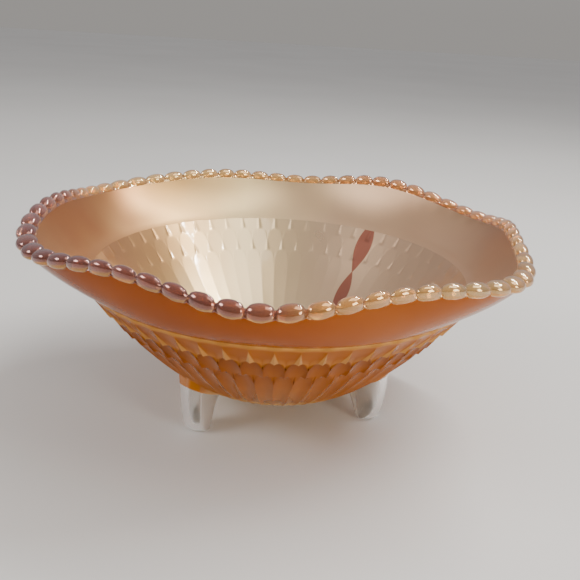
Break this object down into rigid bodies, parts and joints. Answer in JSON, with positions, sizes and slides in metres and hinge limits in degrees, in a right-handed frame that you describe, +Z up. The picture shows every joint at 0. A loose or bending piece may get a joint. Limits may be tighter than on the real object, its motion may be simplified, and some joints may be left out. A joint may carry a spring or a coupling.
{
  "type": "carnival glass bowl",
  "caption": "Round pressed glass bowl on stubby clear feet, with a staggered rib pattern outside, a plain band and a crimped beaded rim, in iridescent amber.",
  "frame": {"origin": "on the bowl's axis, at the level of the surface that the three feet stand on", "axes": "+Z up along the bowl's axis; the side with two feet faces -Y"},
  "size_m": [0.2132, 0.2068, 0.0934],
  "materials": {
    "amber_glass": "pressed glass with a satin iridescent amber coating",
    "rim_glass": "glossy pressed glass with an iridescent amber coating",
    "clear_glass": "glossy uncoated clear glass"
  },
  "bodies": {
    "root": {"base_disc": "amber_glass", "fluted_wall": "amber_glass", "plain_band": "amber_glass", "beaded_rim": "rim_glass", "foot_front_left": "clear_glass", "foot_front_right": "clear_glass", "foot_back": "clear_glass"}
  },
  "joints": []
}
